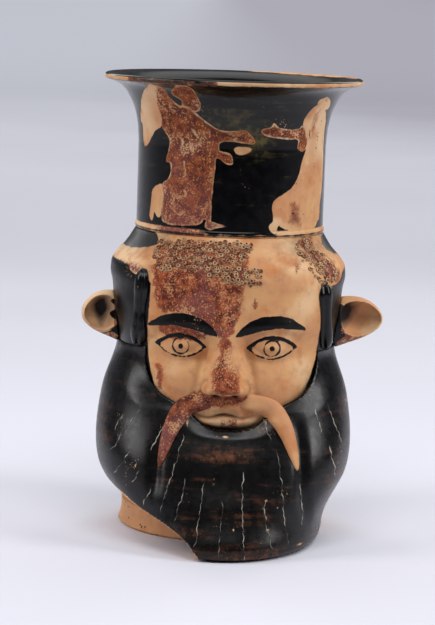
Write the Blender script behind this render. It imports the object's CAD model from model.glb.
import math
import random
from functools import partial

import bpy
import numpy as np
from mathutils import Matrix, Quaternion, Vector
from mathutils.bvhtree import BVHTree


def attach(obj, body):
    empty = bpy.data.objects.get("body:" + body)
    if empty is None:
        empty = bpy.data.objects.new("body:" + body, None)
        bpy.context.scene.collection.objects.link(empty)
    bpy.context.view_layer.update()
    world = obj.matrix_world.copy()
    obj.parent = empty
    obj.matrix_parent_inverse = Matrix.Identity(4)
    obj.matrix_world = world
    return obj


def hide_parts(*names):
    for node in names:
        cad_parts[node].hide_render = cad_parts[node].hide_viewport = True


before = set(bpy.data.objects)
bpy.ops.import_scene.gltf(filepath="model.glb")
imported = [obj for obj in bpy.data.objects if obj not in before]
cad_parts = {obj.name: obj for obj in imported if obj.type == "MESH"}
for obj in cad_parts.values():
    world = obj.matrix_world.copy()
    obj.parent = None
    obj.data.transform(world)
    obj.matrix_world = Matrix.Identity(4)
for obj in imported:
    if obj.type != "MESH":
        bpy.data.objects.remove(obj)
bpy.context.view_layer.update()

# A red-figure drinking mug moulded as a bearded head with animal ears. The numbers below are millimetres,
# as in the part's source, and become metres when they reach a mesh.
mm = 0.001


# Stage, light and camera

studio = {
    "target": (-0.0046, 0.0, 0.1076),     # the middle of the picture, on the mug's axis
    "eye": (-0.0102, -1.213, 0.2773),
    "lens": 138.8,
    "lean": 1.87,                         # degrees, the mug leans to the right in the picture
    "floorSize": 80.0,
    "floorFront": "#6C6C76",              # the camera's side, which the black gloss mirrors, is darker
    "floorNear": "#D3D3DD",
    "floorMiddle": "#ECECF6",
    "floorFarLeft": "#C0C2CC",
    "floorFarRight": "#ABAAB4",
    "airColour": "#E4E4EC",
    "airStrength": 0.14,
    # Metres over which the floor fades: to its middle tone, to its far tone, left to right, towards the camera
    "middleFade": (0.75, 1.9),
    "farFade": (1.9, 5.1),
    "sideFade": (-0.4, 0.4),
    "frontFade": (-0.45, -1.5),
    # name, place, aimed at, width, height, watts, spread in degrees
    "softboxes": [
        ("topSoftbox", (0.0, -0.62, 1.34), (0.0, -0.03, 0.12), 1.1, 0.7, 5.2, 120),
        ("rightSoftbox", (1.09, -0.27, 0.73), (0.0, 0.0, 0.10), 0.40, 0.90, 3.5, 110),
        ("leftSoftbox", (-1.10, -0.24, 0.73), (0.0, 0.0, 0.10), 0.45, 0.90, 2.9, 110),
        ("rightRim", (0.70, 1.05, 0.80), (0.0, 0.0, 0.12), 0.35, 0.80, 0.9, 100),
        ("leftRim", (-0.70, 1.05, 0.80), (0.0, 0.0, 0.12), 0.35, 0.80, 0.9, 100),
        # The ceiling over the floor behind, which keeps the far floor pale
        ("ceilingPanel", (0.0, 21.0, 3.8), (0.0, 21.0, 0.0), 14.0, 40.0, 1600.0, 130),
    ],
}


def linearColour(hexColour):
    parts = [int(hexColour[i:i + 2], 16) / 255 for i in (1, 3, 5)]
    return tuple([p / 12.92 if p <= 0.04045 else ((p + 0.055) / 1.055) ** 2.4 for p in parts] + [1.0])


def addNode(tree, kind, feeds=(), out=0, **settings):
    # Feeds the inputs by name, or in a list in their order, and gives back the output that is used next
    node = tree.nodes.new(kind)
    for name, value in settings.items():
        setattr(node, name, value)
    for name, value in feeds.items() if isinstance(feeds, dict) else enumerate(feeds):
        if isinstance(value, bpy.types.NodeSocket):
            tree.links.new(value, node.inputs[name])
        else:
            node.inputs[name].default_value = linearColour(value) if isinstance(value, str) else value
    return node.outputs[out] if node.outputs else None


def freshMaterial(name):
    material = bpy.data.materials.new(name)
    material.use_nodes = True
    material.node_tree.nodes.clear()
    return material, partial(addNode, material.node_tree)


def aimedAt(place, target):
    return (Vector(target) - Vector(place)).to_track_quat("-Z", "Y")


def buildStage():
    bpy.ops.object.select_all(action="DESELECT")
    bpy.ops.mesh.primitive_plane_add(size=studio["floorSize"], location=(0, 0, 0))
    floor = bpy.context.object
    floor.name = "studioFloor"
    # Matt card, faintly cool and cloudy, that goes from pale by the mug to greyer far off and to the right
    material, add = freshMaterial("paintedStudioBoard")
    place = add("ShaderNodeTexCoord", out="Object")
    away = add("ShaderNodeVectorMath", [place], out="Value", operation="LENGTH")
    mottle = add("ShaderNodeTexNoise", {"Vector": place, "Scale": 1.5, "Detail": 2.0})
    away = add("ShaderNodeMath", [away, mottle], operation="ADD")
    axes = add("ShaderNodeSeparateXYZ", [place]).node.outputs
    right = add("ShaderNodeMapRange", [axes["X"], *studio["sideFade"]], interpolation_type="SMOOTHSTEP")
    edge = add("ShaderNodeMix", {0: right, 6: studio["floorFarLeft"], 7: studio["floorFarRight"]}, out=2,
               data_type="RGBA")
    tone = studio["floorNear"]
    for value, fade, colour in ((away, "middleFade", studio["floorMiddle"]), (away, "farFade", edge),
                                (axes["Y"], "frontFade", studio["floorFront"])):
        share = add("ShaderNodeMapRange", [value, *studio[fade]], interpolation_type="SMOOTHSTEP")
        tone = add("ShaderNodeMix", {0: share, 6: tone, 7: colour}, out=2, data_type="RGBA")
    board = add("ShaderNodeBsdfPrincipled", {"Base Color": tone, "Roughness": 0.9, "Specular IOR Level": 0.2})
    add("ShaderNodeOutputMaterial", {"Surface": board})
    floor.data.materials.append(material)

    world = bpy.data.worlds.new("studioAir")
    bpy.context.scene.world = world
    world.use_nodes = True
    air = world.node_tree.nodes["Background"]
    air.inputs["Color"].default_value = linearColour(studio["airColour"])
    air.inputs["Strength"].default_value = studio["airStrength"]

    for name, place, target, width, height, watts, spread in studio["softboxes"]:
        bpy.ops.object.light_add(type="AREA", location=place)
        lamp = bpy.context.object
        lamp.name = name
        lamp.rotation_mode = "QUATERNION"
        lamp.rotation_quaternion = aimedAt(place, target)
        lamp.data.shape = "RECTANGLE"
        lamp.data.size = width
        lamp.data.size_y = height
        lamp.data.energy = watts
        lamp.data.spread = math.radians(spread)

    bpy.ops.object.camera_add(location=studio["eye"])
    camera = bpy.context.object
    camera.rotation_mode = "QUATERNION"
    lean = Quaternion((0, 0, 1), math.radians(studio["lean"]))
    camera.rotation_quaternion = aimedAt(studio["eye"], studio["target"]) @ lean
    camera.data.sensor_width = 36
    camera.data.lens = studio["lens"]
    camera.data.clip_start = 0.05
    camera.data.clip_end = 60
    bpy.context.scene.camera = camera
    bpy.context.scene.view_settings.view_transform = "Standard"


buildStage()
print("stage, light and camera are set")


# The forms of the moulds, as in the part's source

forms = {
    "footHeight": 12.0, "seatHeight": 151.0, "rimHeight": 228.0,
    "neckRadius": 47.1, "neckWall": 4.5, "rimRadius": 64.8, "flareHeight": 34.0, "lipThickness": 3.2,
    "beadHeight": 3.0, "beadProud": 0.7,
    "footTopRadius": 50.8, "footStep": 1.2,
    "halfWidth": 59.5, "frontDepth": 64.0, "backDepth": 63.5, "squareness": 2.3,
    "beardHalfWidth": 63.5, "beardReach": 94.0, "beardSetForward": 28.0, "beardTop": 100.0, "beardBottom": 1.0,
    "hairShift": 2.8, "chin": 47.0,
}
headLevels = [
    (0.10, 0.765, 0.760, 0.715), (0.21, 0.785, 0.820, 0.735), (0.31, 0.825, 0.905, 0.810),
    (0.42, 0.865, 0.960, 0.900), (0.53, 0.895, 0.975, 0.970), (0.58, 0.905, 0.972, 0.990),
    (0.66, 0.935, 0.980, 1.000), (0.74, 0.965, 0.990, 0.990), (0.80, 0.978, 0.975, 0.965),
    (0.845, 0.998, 0.965, 0.945), (0.875, 0.993, 0.945, 0.920), (0.91, 0.945, 0.905, 0.880),
    (0.945, 0.872, 0.840, 0.825),
]
beardLevels = [
    (0.000, 0.746, 0.985, 1.00), (0.033, 0.768, 1.000, 1.00), (0.115, 0.776, 0.968, 1.00),
    (0.172, 0.803, 0.936, 1.00), (0.242, 0.868, 0.904, 0.96), (0.333, 0.957, 0.856, 0.89),
    (0.444, 0.997, 0.809, 0.79), (0.545, 1.000, 0.755, 0.64), (0.646, 0.984, 0.713, 0.50),
    (0.747, 0.954, 0.697, 0.36), (0.838, 0.904, 0.691, 0.21), (0.919, 0.866, 0.681, 0.07),
    (1.000, 0.790, 0.620, 0.00),
]
flareCurve = [(0.00, 0.000), (0.25, 0.035), (0.50, 0.130), (0.70, 0.290), (0.85, 0.480), (0.94, 0.690),
              (1.00, 1.000)]

# One part of the face is 2/7 of the height from chin to crown
facePart = (forms["seatHeight"] - forms["chin"]) / 3.5
eyeLevel = (forms["seatHeight"] + forms["chin"]) / 2
noseBase = forms["chin"] + facePart
browLevel = noseBase + facePart
mouthLevel = noseBase - facePart / 3
eyeOffset = facePart * 0.745
faceReliefs = [
    (0.745, 1.765, 0.460, 0.270, -0.200),   # eye socket
    (0.745, 1.750, 0.290, 0.150, 0.235),    # eyeball
    (0.860, 1.070, 0.440, 0.370, 0.100),    # cheek
    (0.270, 1.090, 0.115, 0.135, 0.190),    # nostril
    (0.000, 0.775, 0.450, 0.085, 0.090),    # upper lip
    (0.000, 0.545, 0.440, 0.110, 0.190),    # lower lip
    (0.000, 0.667, 0.740, 0.240, 0.065),    # mound of the mouth
]
noseRidge = [(0.67, 0.00), (0.95, 0.30), (1.07, 0.93), (1.17, 1.00), (1.55, 0.62), (1.85, 0.30), (2.13, 0.07),
             (2.30, 0.00)]
noseWidth = [(1.00, 0.300), (1.17, 0.310), (1.48, 0.230), (1.75, 0.190), (2.13, 0.300)]


def smoothCurve(points):
    at = np.array([p[0] for p in points], float)
    value = np.array([p[1] for p in points], float)
    step = np.diff(value) / np.diff(at)
    slope = np.concatenate(([step[0]], np.zeros(len(step) - 1), [step[-1]]))
    for i in range(1, len(step)):
        if step[i - 1] * step[i] > 0:
            slope[i] = 2 * step[i - 1] * step[i] / (step[i - 1] + step[i])

    def curve(x):
        x = np.clip(x, at[0], at[-1])
        i = np.clip(np.searchsorted(at, x, side="right") - 1, 0, len(step) - 1)
        width = at[i + 1] - at[i]
        t = (x - at[i]) / width
        start = value[i] * (1 + 2 * t) * (1 - t) ** 2 + width * slope[i] * t * (1 - t) ** 2
        end = value[i + 1] * t * t * (3 - 2 * t) + width * slope[i + 1] * t * t * (t - 1)
        return start + end

    return curve


def headCurve(column, size):
    low = forms["footHeight"]
    height = forms["seatHeight"] - low
    rows = [(low + row[0] * height, row[column] * size) for row in headLevels]
    return smoothCurve([(low, forms["footTopRadius"] - forms["footStep"])] + rows
                       + [(forms["seatHeight"], forms["neckRadius"])])


def beardCurve(column, size):
    low = forms["beardBottom"]
    height = forms["beardTop"] - low
    return smoothCurve([(low + row[0] * height, row[column] * size) for row in beardLevels])


halfWidthAt = headCurve(1, forms["halfWidth"])
frontAt = headCurve(2, forms["frontDepth"])
backAt = headCurve(3, forms["backDepth"])
beardWidthAt = beardCurve(1, forms["beardHalfWidth"])
beardFrontAt = beardCurve(2, forms["beardReach"])
beardMiddleAt = beardCurve(3, forms["beardSetForward"])
noseRidgeAt = smoothCurve([(forms["chin"] + r[0] * facePart, r[1] * facePart * 0.5) for r in noseRidge])
noseWidthAt = smoothCurve([(forms["chin"] + r[0] * facePart, r[1] * facePart) for r in noseWidth])


def bell(distance, spread):
    return np.exp(-((distance / spread) ** 2))


def squarenessAt(z):
    share = np.clip((z - forms["footHeight"]) / (forms["seatHeight"] - forms["footHeight"]), 0, 1)
    return 2 + (forms["squareness"] - 2) * np.sin(np.pi * share) ** 0.7


def beardSquarenessAt(z):
    share = (z - forms["beardBottom"]) / (forms["beardTop"] - forms["beardBottom"])
    return 2 + (forms["squareness"] - 2) * share


def ovalFront(x, halfWidth, depth, middle, squareness):
    across = np.minimum(np.abs(x) / halfWidth, 1)
    return -middle - depth * (1 - across ** squareness) ** (1 / squareness)


def beardFrontAtPlace(x, z):
    middle = beardMiddleAt(z)
    return ovalFront(x, beardWidthAt(z), beardFrontAt(z) - middle, middle, beardSquarenessAt(z))


def headFrontAt(x, z):
    return ovalFront(x, halfWidthAt(z), frontAt(z), 0, squarenessAt(z))


# Drawing in millimetres on the surface

def rounded(outline, times=2, closed=True):
    points = np.array(outline, float)
    for _ in range(times):
        following = np.roll(points, -1, axis=0)
        pairs = np.stack((points * 0.75 + following * 0.25, points * 0.25 + following * 0.75), 1)
        if closed:
            points = pairs.reshape(-1, 2)
        else:
            points = np.concatenate((points[:1], pairs[:-1].reshape(-1, 2), points[-1:]))
    return points


def throughPoints(line, steps=8):
    # A smooth curve through all the points
    points = np.array(line, float)
    points = np.concatenate((points[:1] * 2 - points[1:2], points, points[-1:] * 2 - points[-2:-1]))
    curve = []
    for a, b, c, d in zip(points[:-3], points[1:-2], points[2:-1], points[3:]):
        for t in np.arange(steps) / steps:
            curve.append(0.5 * (2 * b + (c - a) * t + (2 * a - 5 * b + 4 * c - d) * t * t
                                + (3 * b - 3 * c + d - a) * t ** 3))
    return np.array(curve + [points[-2]])


def distanceToLine(x, z, line, signs=False):
    # With signs, also the distance made negative on the line's right
    nearest = np.full(x.shape, 1e6)
    signed = nearest
    for (ax, az), (bx, bz) in zip(line[:-1], line[1:]):
        dx, dz = bx - ax, bz - az
        t = np.clip(((x - ax) * dx + (z - az) * dz) / (dx * dx + dz * dz + 1e-9), 0, 1)
        apart = np.hypot(x - ax - t * dx, z - az - t * dz)
        if signs:
            onRight = dx * (z - az) - dz * (x - ax) < 0
            signed = np.where(apart < nearest, np.where(onRight, -apart, apart), signed)
        nearest = np.minimum(nearest, apart)
    return (nearest, signed) if signs else nearest


def distanceInside(x, z, outline):
    # Positive inside the outline
    loop = np.concatenate((outline, outline[:1]))
    inside = np.zeros(x.shape, bool)
    for (ax, az), (bx, bz) in zip(loop[:-1], loop[1:]):
        crosses = (az > z) != (bz > z)
        inside ^= crosses & (x < (bx - ax) * (z - az) / (bz - az + 1e-12) + ax)
    return np.where(inside, 1, -1) * distanceToLine(x, z, loop)


def insideAny(x, z, outlines, roundings=2):
    # Positive inside any of the outlines, each rounded off this many times
    found = np.full(x.shape, -50.0)
    for outline in outlines:
        found = np.maximum(found, distanceInside(x, z, rounded(outline, roundings)))
    return found


def wavy(line, swing, length, seed):
    # A line drawn by a shaking hand: short steps, pushed sideways
    points = np.array(line, float)
    steps = np.hypot(*np.diff(points, axis=0).T)
    at = np.concatenate(([0], np.cumsum(steps)))
    along = np.linspace(0, at[-1], max(8, int(at[-1] / 0.9)))
    x = np.interp(along, at, points[:, 0])
    z = np.interp(along, at, points[:, 1])
    slow = np.sin(along / length * 2 * np.pi + seed) * (0.6 + 0.4 * np.sin(along / length * 1.3 + 3 * seed))
    push = swing * (slow + 0.55 * np.sin(along / length * 14.7 + 2.3 * seed))
    dx, dz = np.gradient(x), np.gradient(z)
    size = np.hypot(dx, dz)
    return np.stack((x - dz / size * push, z + dx / size * push), 1)


# Making and finishing pieces

def bentGrid(name, x, y, z):
    rows, columns = x.shape
    bpy.ops.object.select_all(action="DESELECT")
    bpy.ops.mesh.primitive_grid_add(x_subdivisions=columns - 1, y_subdivisions=rows - 1, size=1)
    piece = bpy.context.object
    piece.name = name
    piece.data.vertices.foreach_set("co", (np.stack((x, y, z), -1) * mm).ravel())
    piece.data.update()
    return piece


def applyModifier(piece, kind, **settings):
    bpy.context.view_layer.objects.active = piece
    modifier = piece.modifiers.new(kind.title(), kind)
    for name, value in settings.items():
        setattr(modifier, name, value)
    bpy.ops.object.modifier_apply(modifier=modifier.name)


def vertexValues(piece, name, unit=1.0):
    values = np.zeros(len(piece.data.vertices) * 3)
    piece.data.vertices.foreach_get(name, values)
    return values.reshape(-1, 3) / unit


def moveTo(piece, places):
    piece.data.vertices.foreach_set("co", (places * mm).ravel())
    piece.data.update()


def writePaint(piece, name, values):
    layer = piece.data.attributes.get(name) or piece.data.attributes.new(name, "FLOAT", "POINT")
    layer.data.foreach_set("value", np.ascontiguousarray(values, np.float32))


def selectOnly(*pieces):
    bpy.ops.object.select_all(action="DESELECT")
    for piece in pieces:
        piece.select_set(True)
    bpy.context.view_layer.objects.active = pieces[0]


def weld(metres, outward=False):
    bpy.ops.object.mode_set(mode="EDIT")
    bpy.ops.mesh.select_all(action="SELECT")
    bpy.ops.mesh.remove_doubles(threshold=metres)
    if outward:
        bpy.ops.mesh.select_all(action="SELECT")
        bpy.ops.mesh.normals_make_consistent(inside=False)
    bpy.ops.object.mode_set(mode="OBJECT")


def finishPiece(piece, material, slotName, *replaced):
    piece.data.materials.clear()
    piece.data.materials.append(material)
    selectOnly(piece)
    bpy.ops.object.shade_smooth()
    if replaced:
        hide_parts(*replaced)
    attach(piece, "root")


def remeshedCopy(node, name, voxel, smoothing):
    # A node's own form with an even skin, fine enough to carve and paint
    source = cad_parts[node]
    piece = bpy.data.objects.new(name, source.data.copy())
    bpy.context.scene.collection.objects.link(piece)
    selectOnly(piece)
    weld(0.000005)
    applyModifier(piece, "REMESH", mode="VOXEL", voxel_size=voxel * mm)
    applyModifier(piece, "SMOOTH", factor=0.5, iterations=smoothing)
    return piece


# Pottery finishes

pottery = {
    "clay": "#C2895E",
    # Laid over the clay in turn: pattern, where it starts and is full, greatest share, colour
    "clayLayers": [
        ("clouds", 0.35, 0.65, 1.0, "#CF9E6B"),
        ("patches", 0.48, 0.72, 0.7, "#B28362"),
        ("creamClouds", 0.48, 0.64, 0.85, "#DDBA92"),
        ("flushClouds", 0.54, 0.68, 0.75, "#B87343"),
        ("grains", 0.62, 0.72, 0.45, "#745036"),
    ],
    "pitBrown": "#4A2C1C",
    "washColours": ("#6C2C1C", "#93502F", "#C58E60"),
    "washMauve": "#7E4644",
    "washSpecks": "#34120C",
    "slipColour": "#040405",
    "slipBrown": "#15100C",
    "sootBrown": "#1C100A",
    "scratchShadow": "#2A2826",
    "scratchDust": "#A8A296",
    "clayRoughness": 0.60,
    "washRoughness": 0.80,
    "indexOfRefraction": 1.36,
    "pitsPerMetre": 330.0,                   # 3 mm apart
}
# Scales are repeats in a metre
patterns = {
    "clouds": {"Scale": 55.0, "Detail": 3.0, "Roughness": 0.55},         # 18 mm, from uneven burnishing and firing
    "patches": {"Scale": 240.0, "Detail": 4.0, "Roughness": 0.55},       # 4 mm
    "grains": {"Scale": 1100.0, "Detail": 4.0, "Roughness": 0.7},        # under 1 mm, as coarse as shows
    "creamClouds": {"Scale": 28.0, "Detail": 2.0, "Roughness": 0.55},    # 36 mm
    "flushClouds": {"Scale": 67.0, "Detail": 3.0, "Roughness": 0.55},    # 15 mm
    "specks": {"Scale": 1500.0, "Detail": 2.0, "Roughness": 0.55},       # 0.7 mm
    "rubbing": {"Scale": 120.0, "Detail": 3.0, "Roughness": 0.55},       # 8 mm
    "streaks": {"Scale": 110.0, "Detail": 5.0, "Roughness": 0.65},       # 9 mm before they are drawn out level
    "dust": {"Scale": 170.0, "Detail": 2.0, "Roughness": 0.55},          # 6 mm
}


def paintedPottery(name, slip=None, wash=None, lines=False, scratches=False, misfire=False, soot=False, pits=False,
                   chips=0.5, patchWear=0.0, slipRoughness=0.20, raggedness=2.0, rustColours=("#2E1C12", "#7A4424"),
                   washColours=pottery["washColours"], lineWear=0.30, lowMauve=0,
                   indexOfRefraction=pottery["indexOfRefraction"]):
    # Fine Attic clay: the bare body burnished to a warm tan, iron slip fired to a black gloss over it, and red ochre
    # that has mostly rubbed off. slip and wash are None, the word all, or the name of a distance in millimetres
    # that is positive where the colour was laid.
    material, add = freshMaterial(name)
    place = add("ShaderNodeTexCoord", out="Object")
    noise = {}
    colour = pottery["clay"]
    for pattern, low, high, most, tone in pottery["clayLayers"]:
        noise[pattern] = add("ShaderNodeTexNoise", {"Vector": place, **patterns[pattern]})
        share = add("ShaderNodeMapRange", [noise[pattern], low, high, 0.0, most])
        colour = add("ShaderNodeMix", {0: share, 6: colour, 7: tone}, out=2, data_type="RGBA")
    broad, medium, fine = noise["clouds"], noise["patches"], noise["grains"]
    gloss = pottery["clayRoughness"]
    height = add("ShaderNodeMath", [fine, 0.25], operation="MULTIPLY")

    if pits:
        # Burst bubbles and lost grit, where they come
        cells = add("ShaderNodeTexVoronoi", {"Vector": place, "Scale": pottery["pitsPerMetre"]}).node.outputs
        hole = add("ShaderNodeMapRange", [cells["Distance"], 0.16, 0.26, 1.0, 0.0])
        chance = add("ShaderNodeSeparateColor", [cells["Color"]])
        chosen = add("ShaderNodeMapRange", [chance, 0.48, 0.56])
        hole = add("ShaderNodeMath", [hole, chosen], operation="MULTIPLY")
        colour = add("ShaderNodeMix", {0: hole, 6: colour, 7: pottery["pitBrown"]}, out=2, data_type="RGBA")
        height = add("ShaderNodeMath", [hole, -1.2, height], operation="MULTIPLY_ADD")

    if wash:
        mauve = add("ShaderNodeMapRange", [broad, 0.48, 0.60, 0.0, 0.70])
        if lowMauve:
            # Below this height in metres the red has gone purple
            up = add("ShaderNodeSeparateXYZ", [place], out="Z")
            lowest = add("ShaderNodeMapRange", [up, lowMauve - 0.02, lowMauve + 0.02, 1.0, 0.1])
            mauve = add("ShaderNodeMath", [mauve, lowest], operation="MULTIPLY")
            lowest = add("ShaderNodeMapRange", [up, lowMauve - 0.03, lowMauve, 0.65, 0.0])
            mauve = add("ShaderNodeMath", [mauve, lowest], operation="MAXIMUM")
        specks = add("ShaderNodeTexNoise", {"Vector": place, **patterns["specks"]})
        red = washColours[0]
        for share, tone in ((add("ShaderNodeMapRange", [medium, 0.40, 0.60]), washColours[1]),
                            (mauve, pottery["washMauve"]),
                            (add("ShaderNodeMapRange", [specks, 0.42, 0.30, 0.0, 0.60]), pottery["washSpecks"]),
                            (add("ShaderNodeMapRange", [fine, 0.56, 0.66, 0.0, 0.90]), washColours[2])):
            red = add("ShaderNodeMix", {0: share, 6: red, 7: tone}, out=2, data_type="RGBA")
        ragged = 3.0 if wash == "all" else add("ShaderNodeAttribute", out="Fac", attribute_name=wash)
        for pattern, low, high, reach in ((medium, 0.25, 0.75, raggedness), (fine, 0.3, 0.7, 0.6 * raggedness)):
            push = add("ShaderNodeMapRange", [pattern, low, high, -reach, reach])
            ragged = add("ShaderNodeMath", [ragged, push], operation="ADD")
        washMask = add("ShaderNodeMapRange", [ragged, -0.3, 0.5])
        # Rubbed through in clouds, grain by grain
        rubbing = add("ShaderNodeTexNoise", {"Vector": place, **patterns["rubbing"]})
        rub = add("ShaderNodeMath", [rubbing, 0.8, fine], operation="MULTIPLY_ADD")
        worn = add("ShaderNodeMapRange", [rub, 0.97 - patchWear, 1.07 - patchWear, 1.0, 0.12])
        washMask = add("ShaderNodeMath", [washMask, worn], operation="MULTIPLY")
        colour = add("ShaderNodeMix", {0: washMask, 6: colour, 7: red}, out=2, data_type="RGBA")
        gloss = add("ShaderNodeMapRange", [washMask, 0.0, 1.0, pottery["clayRoughness"], pottery["washRoughness"]])
        height = add("ShaderNodeMath", [washMask, 0.5, height], operation="MULTIPLY_ADD")

    if soot:
        # The bottom of a hollow, where thin slip was let run in and the light doesn't reach
        dark = add("ShaderNodeAttribute", out="Fac", attribute_name="soot")
        push = add("ShaderNodeMapRange", [medium, 0.3, 0.7, -0.12, 0.12])
        dark = add("ShaderNodeMath", [dark, push], operation="ADD")
        dark = add("ShaderNodeMapRange", [dark, 0.05, 0.95])
        colour = add("ShaderNodeMix", {0: dark, 6: colour, 7: pottery["sootBrown"]}, out=2, data_type="RGBA")

    if slip or lines:
        # Wiped on round the pot, so its streaks are level
        level = add("ShaderNodeMapping", {"Vector": place, "Scale": (0.30, 0.30, 3.0)})
        streak = add("ShaderNodeTexNoise", {"Vector": level, **patterns["streaks"]})
        if misfire:
            brown = add("ShaderNodeAttribute", out="Fac", attribute_name="misfire")
            push = add("ShaderNodeMapRange", [streak, 0.3, 0.75, -0.55, 0.45])
            brown = add("ShaderNodeMath", [push, brown], operation="ADD")
            rust = add("ShaderNodeMapRange", [brown, 0.05, 0.75, 0.0, 0.95])
        else:
            rust = add("ShaderNodeMapRange", [streak, 0.62, 0.80, 0.0, 0.40])
        rusty = rustColours[0]
        for share, tone in ((add("ShaderNodeMapRange", [medium, 0.45, 0.65]), rustColours[1]),
                            (add("ShaderNodeMapRange", [fine, 0.58, 0.68, 0.0, 0.5]), rustColours[-1])):
            rusty = add("ShaderNodeMix", {0: share, 6: rusty, 7: tone}, out=2, data_type="RGBA")
        black = pottery["slipColour"]
        for share, tone in ((add("ShaderNodeMapRange", [broad, 0.55, 0.75, 0.0, 0.35]), pottery["slipBrown"]),
                            (rust, rusty)):
            black = add("ShaderNodeMix", {0: share, 6: black, 7: tone}, out=2, data_type="RGBA")
        slipMask = 1.0 if slip == "all" else 0.0
        if slip and slip != "all":
            laid = add("ShaderNodeAttribute", out="Fac", attribute_name=slip)
            push = add("ShaderNodeMapRange", [medium, 0.2, 0.8, -0.35, 0.35])
            laid = add("ShaderNodeMath", [laid, push], operation="ADD")
            slipMask = add("ShaderNodeMapRange", [laid, -0.12, 0.22])
        if lines:
            thin = add("ShaderNodeAttribute", out="Fac", attribute_name="lines")
            push = add("ShaderNodeMapRange", [medium, 0.25, 0.75, -lineWear, lineWear])
            thin = add("ShaderNodeMath", [thin, push], operation="ADD")
            thin = add("ShaderNodeMapRange", [thin, -0.10, 0.16])
            slipMask = add("ShaderNodeMath", [slipMask, thin], operation="MAXIMUM")
        flakes = add("ShaderNodeMapRange", [fine, 0.3, 0.7, -0.5, 0.5])
        push = add("ShaderNodeMapRange", [broad, 0.3, 0.7, -0.5, 0.5])
        flakes = add("ShaderNodeMath", [flakes, push], operation="ADD")
        least = 0.62 - 0.35 * (chips - 0.5)
        kept = add("ShaderNodeMapRange", [flakes, least, least + 0.08, 1.0, 0.0])
        slipMask = add("ShaderNodeMath", [slipMask, kept], operation="MULTIPLY")
        colour = add("ShaderNodeMix", {0: slipMask, 6: colour, 7: black}, out=2, data_type="RGBA")
        shine = add("ShaderNodeMapRange", [medium, 0.3, 0.7, slipRoughness - 0.05, slipRoughness + 0.07])
        gloss = add("ShaderNodeMix", {0: slipMask, 2: gloss, 3: shine}, data_type="FLOAT")
        flatter = add("ShaderNodeMapRange", [slipMask, 0.0, 1.0, 1.0, 0.25])
        height = add("ShaderNodeMath", [height, flatter], operation="MULTIPLY")
        height = add("ShaderNodeMath", [slipMask, 0.7, height], operation="MULTIPLY_ADD")

    if scratches:
        # Hair drawn with a point: up to half a millimetre wide, paler where it is filled with old dust
        width = add("ShaderNodeMapRange", [medium, 0.35, 0.65, 0.06, 0.27])
        side = add("ShaderNodeAttribute", out="Fac", attribute_name="scratchSide")
        side = add("ShaderNodeMath", [side], operation="ABSOLUTE")
        cut = add("ShaderNodeMath", [width, side], operation="SUBTRACT")
        cut = add("ShaderNodeMapRange", [cut, -0.06, 0.08])
        near = add("ShaderNodeAttribute", out="Fac", attribute_name="scratch")
        near = add("ShaderNodeMapRange", [near, 0.8, 1.4, 1.0, 0.0])
        cutMask = add("ShaderNodeMath", [cut, near], operation="MULTIPLY")
        dust = add("ShaderNodeTexNoise", {"Vector": place, **patterns["dust"]})
        dust = add("ShaderNodeMapRange", [dust, 0.42, 0.62])
        dusty = add("ShaderNodeMix", {0: dust, 6: pottery["scratchShadow"], 7: pottery["scratchDust"]}, out=2,
                    data_type="RGBA")
        colour = add("ShaderNodeMix", {0: cutMask, 6: colour, 7: dusty}, out=2, data_type="RGBA")
        height = add("ShaderNodeMath", [cutMask, -0.6, height], operation="MULTIPLY_ADD")

    bump = add("ShaderNodeBump", {"Height": height, "Strength": 0.35, "Distance": 0.0004})
    body = add("ShaderNodeBsdfPrincipled", {"Base Color": colour, "Roughness": gloss, "Normal": bump,
                                            "IOR": indexOfRefraction})
    add("ShaderNodeOutputMaterial", {"Surface": body})
    return material


blackGloss = paintedPottery("ironSlipBlackGloss", slip="all", chips=0.3)
pittedClay = paintedPottery("coarseTurnedClay", pits=True)
rubbedOchre = paintedPottery("clayWithRubbedOchre", wash="all", patchWear=0.02,
                             washColours=("#4A1E14", "#8A4528", "#C08A5C"))
print("pottery finishes are ready")


# Head skin

face = {
    "fineHalf": 35.0,            # half-width of the finely set middle
    "wall": 4.5,
    "lidThickness": 1.1,
    "lidWidth": 1.5,
    "eyeHalfLength": 11.5,
    "eyeHalfHeight": 5.2,
    "irisRadius": 3.9,
    "pupilRadius": 1.35,
    "browThickness": 6.6,
    "browMiddle": 21.5,
    "browHalfLength": 17.5,
}


def swelling(side, z, rows):
    # Soft mounds and hollows: place across, place up, half-width, half-height and relief, in parts of the face
    total = 0
    for across, up, wide, tall, relief in rows:
        near = bell(side - across * facePart, wide * facePart)
        total = total + relief * facePart * near * bell(z - forms["chin"] - up * facePart, tall * facePart)
    return total


def eyeDistance(side, z):
    # Positive inside the almond, which two circles that cross at the eye's corners make
    half, tall = face["eyeHalfLength"], face["eyeHalfHeight"]
    radius = (half * half + tall * tall) / (2 * tall)
    drop = radius - tall
    lower = np.hypot(side - eyeOffset, z - eyeLevel - drop)
    return radius - np.maximum(np.hypot(side - eyeOffset, z - eyeLevel + drop), lower)


def lipBow(x):
    return mouthLevel + 0.9 * np.cos(x / (facePart * 0.43) * np.pi * 1.5) - 0.9


def wingDistance(side, z):
    # From the round outline of a wing of the nose
    return np.hypot(side - facePart * 0.25, z - noseBase - facePart * 0.10) - facePart * 0.155


def faceRelief(x, z):
    side = np.abs(x)
    total = noseRidgeAt(z) * bell(x, noseWidthAt(z)) + swelling(side, z, faceReliefs)
    browArc = browLevel + facePart * (0.085 - 0.115 * ((side - eyeOffset) / eyeOffset) ** 2)
    return total + facePart * 0.08 * bell(z - browArc, facePart * 0.15) * bell(side - eyeOffset, facePart * 0.63)


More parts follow.
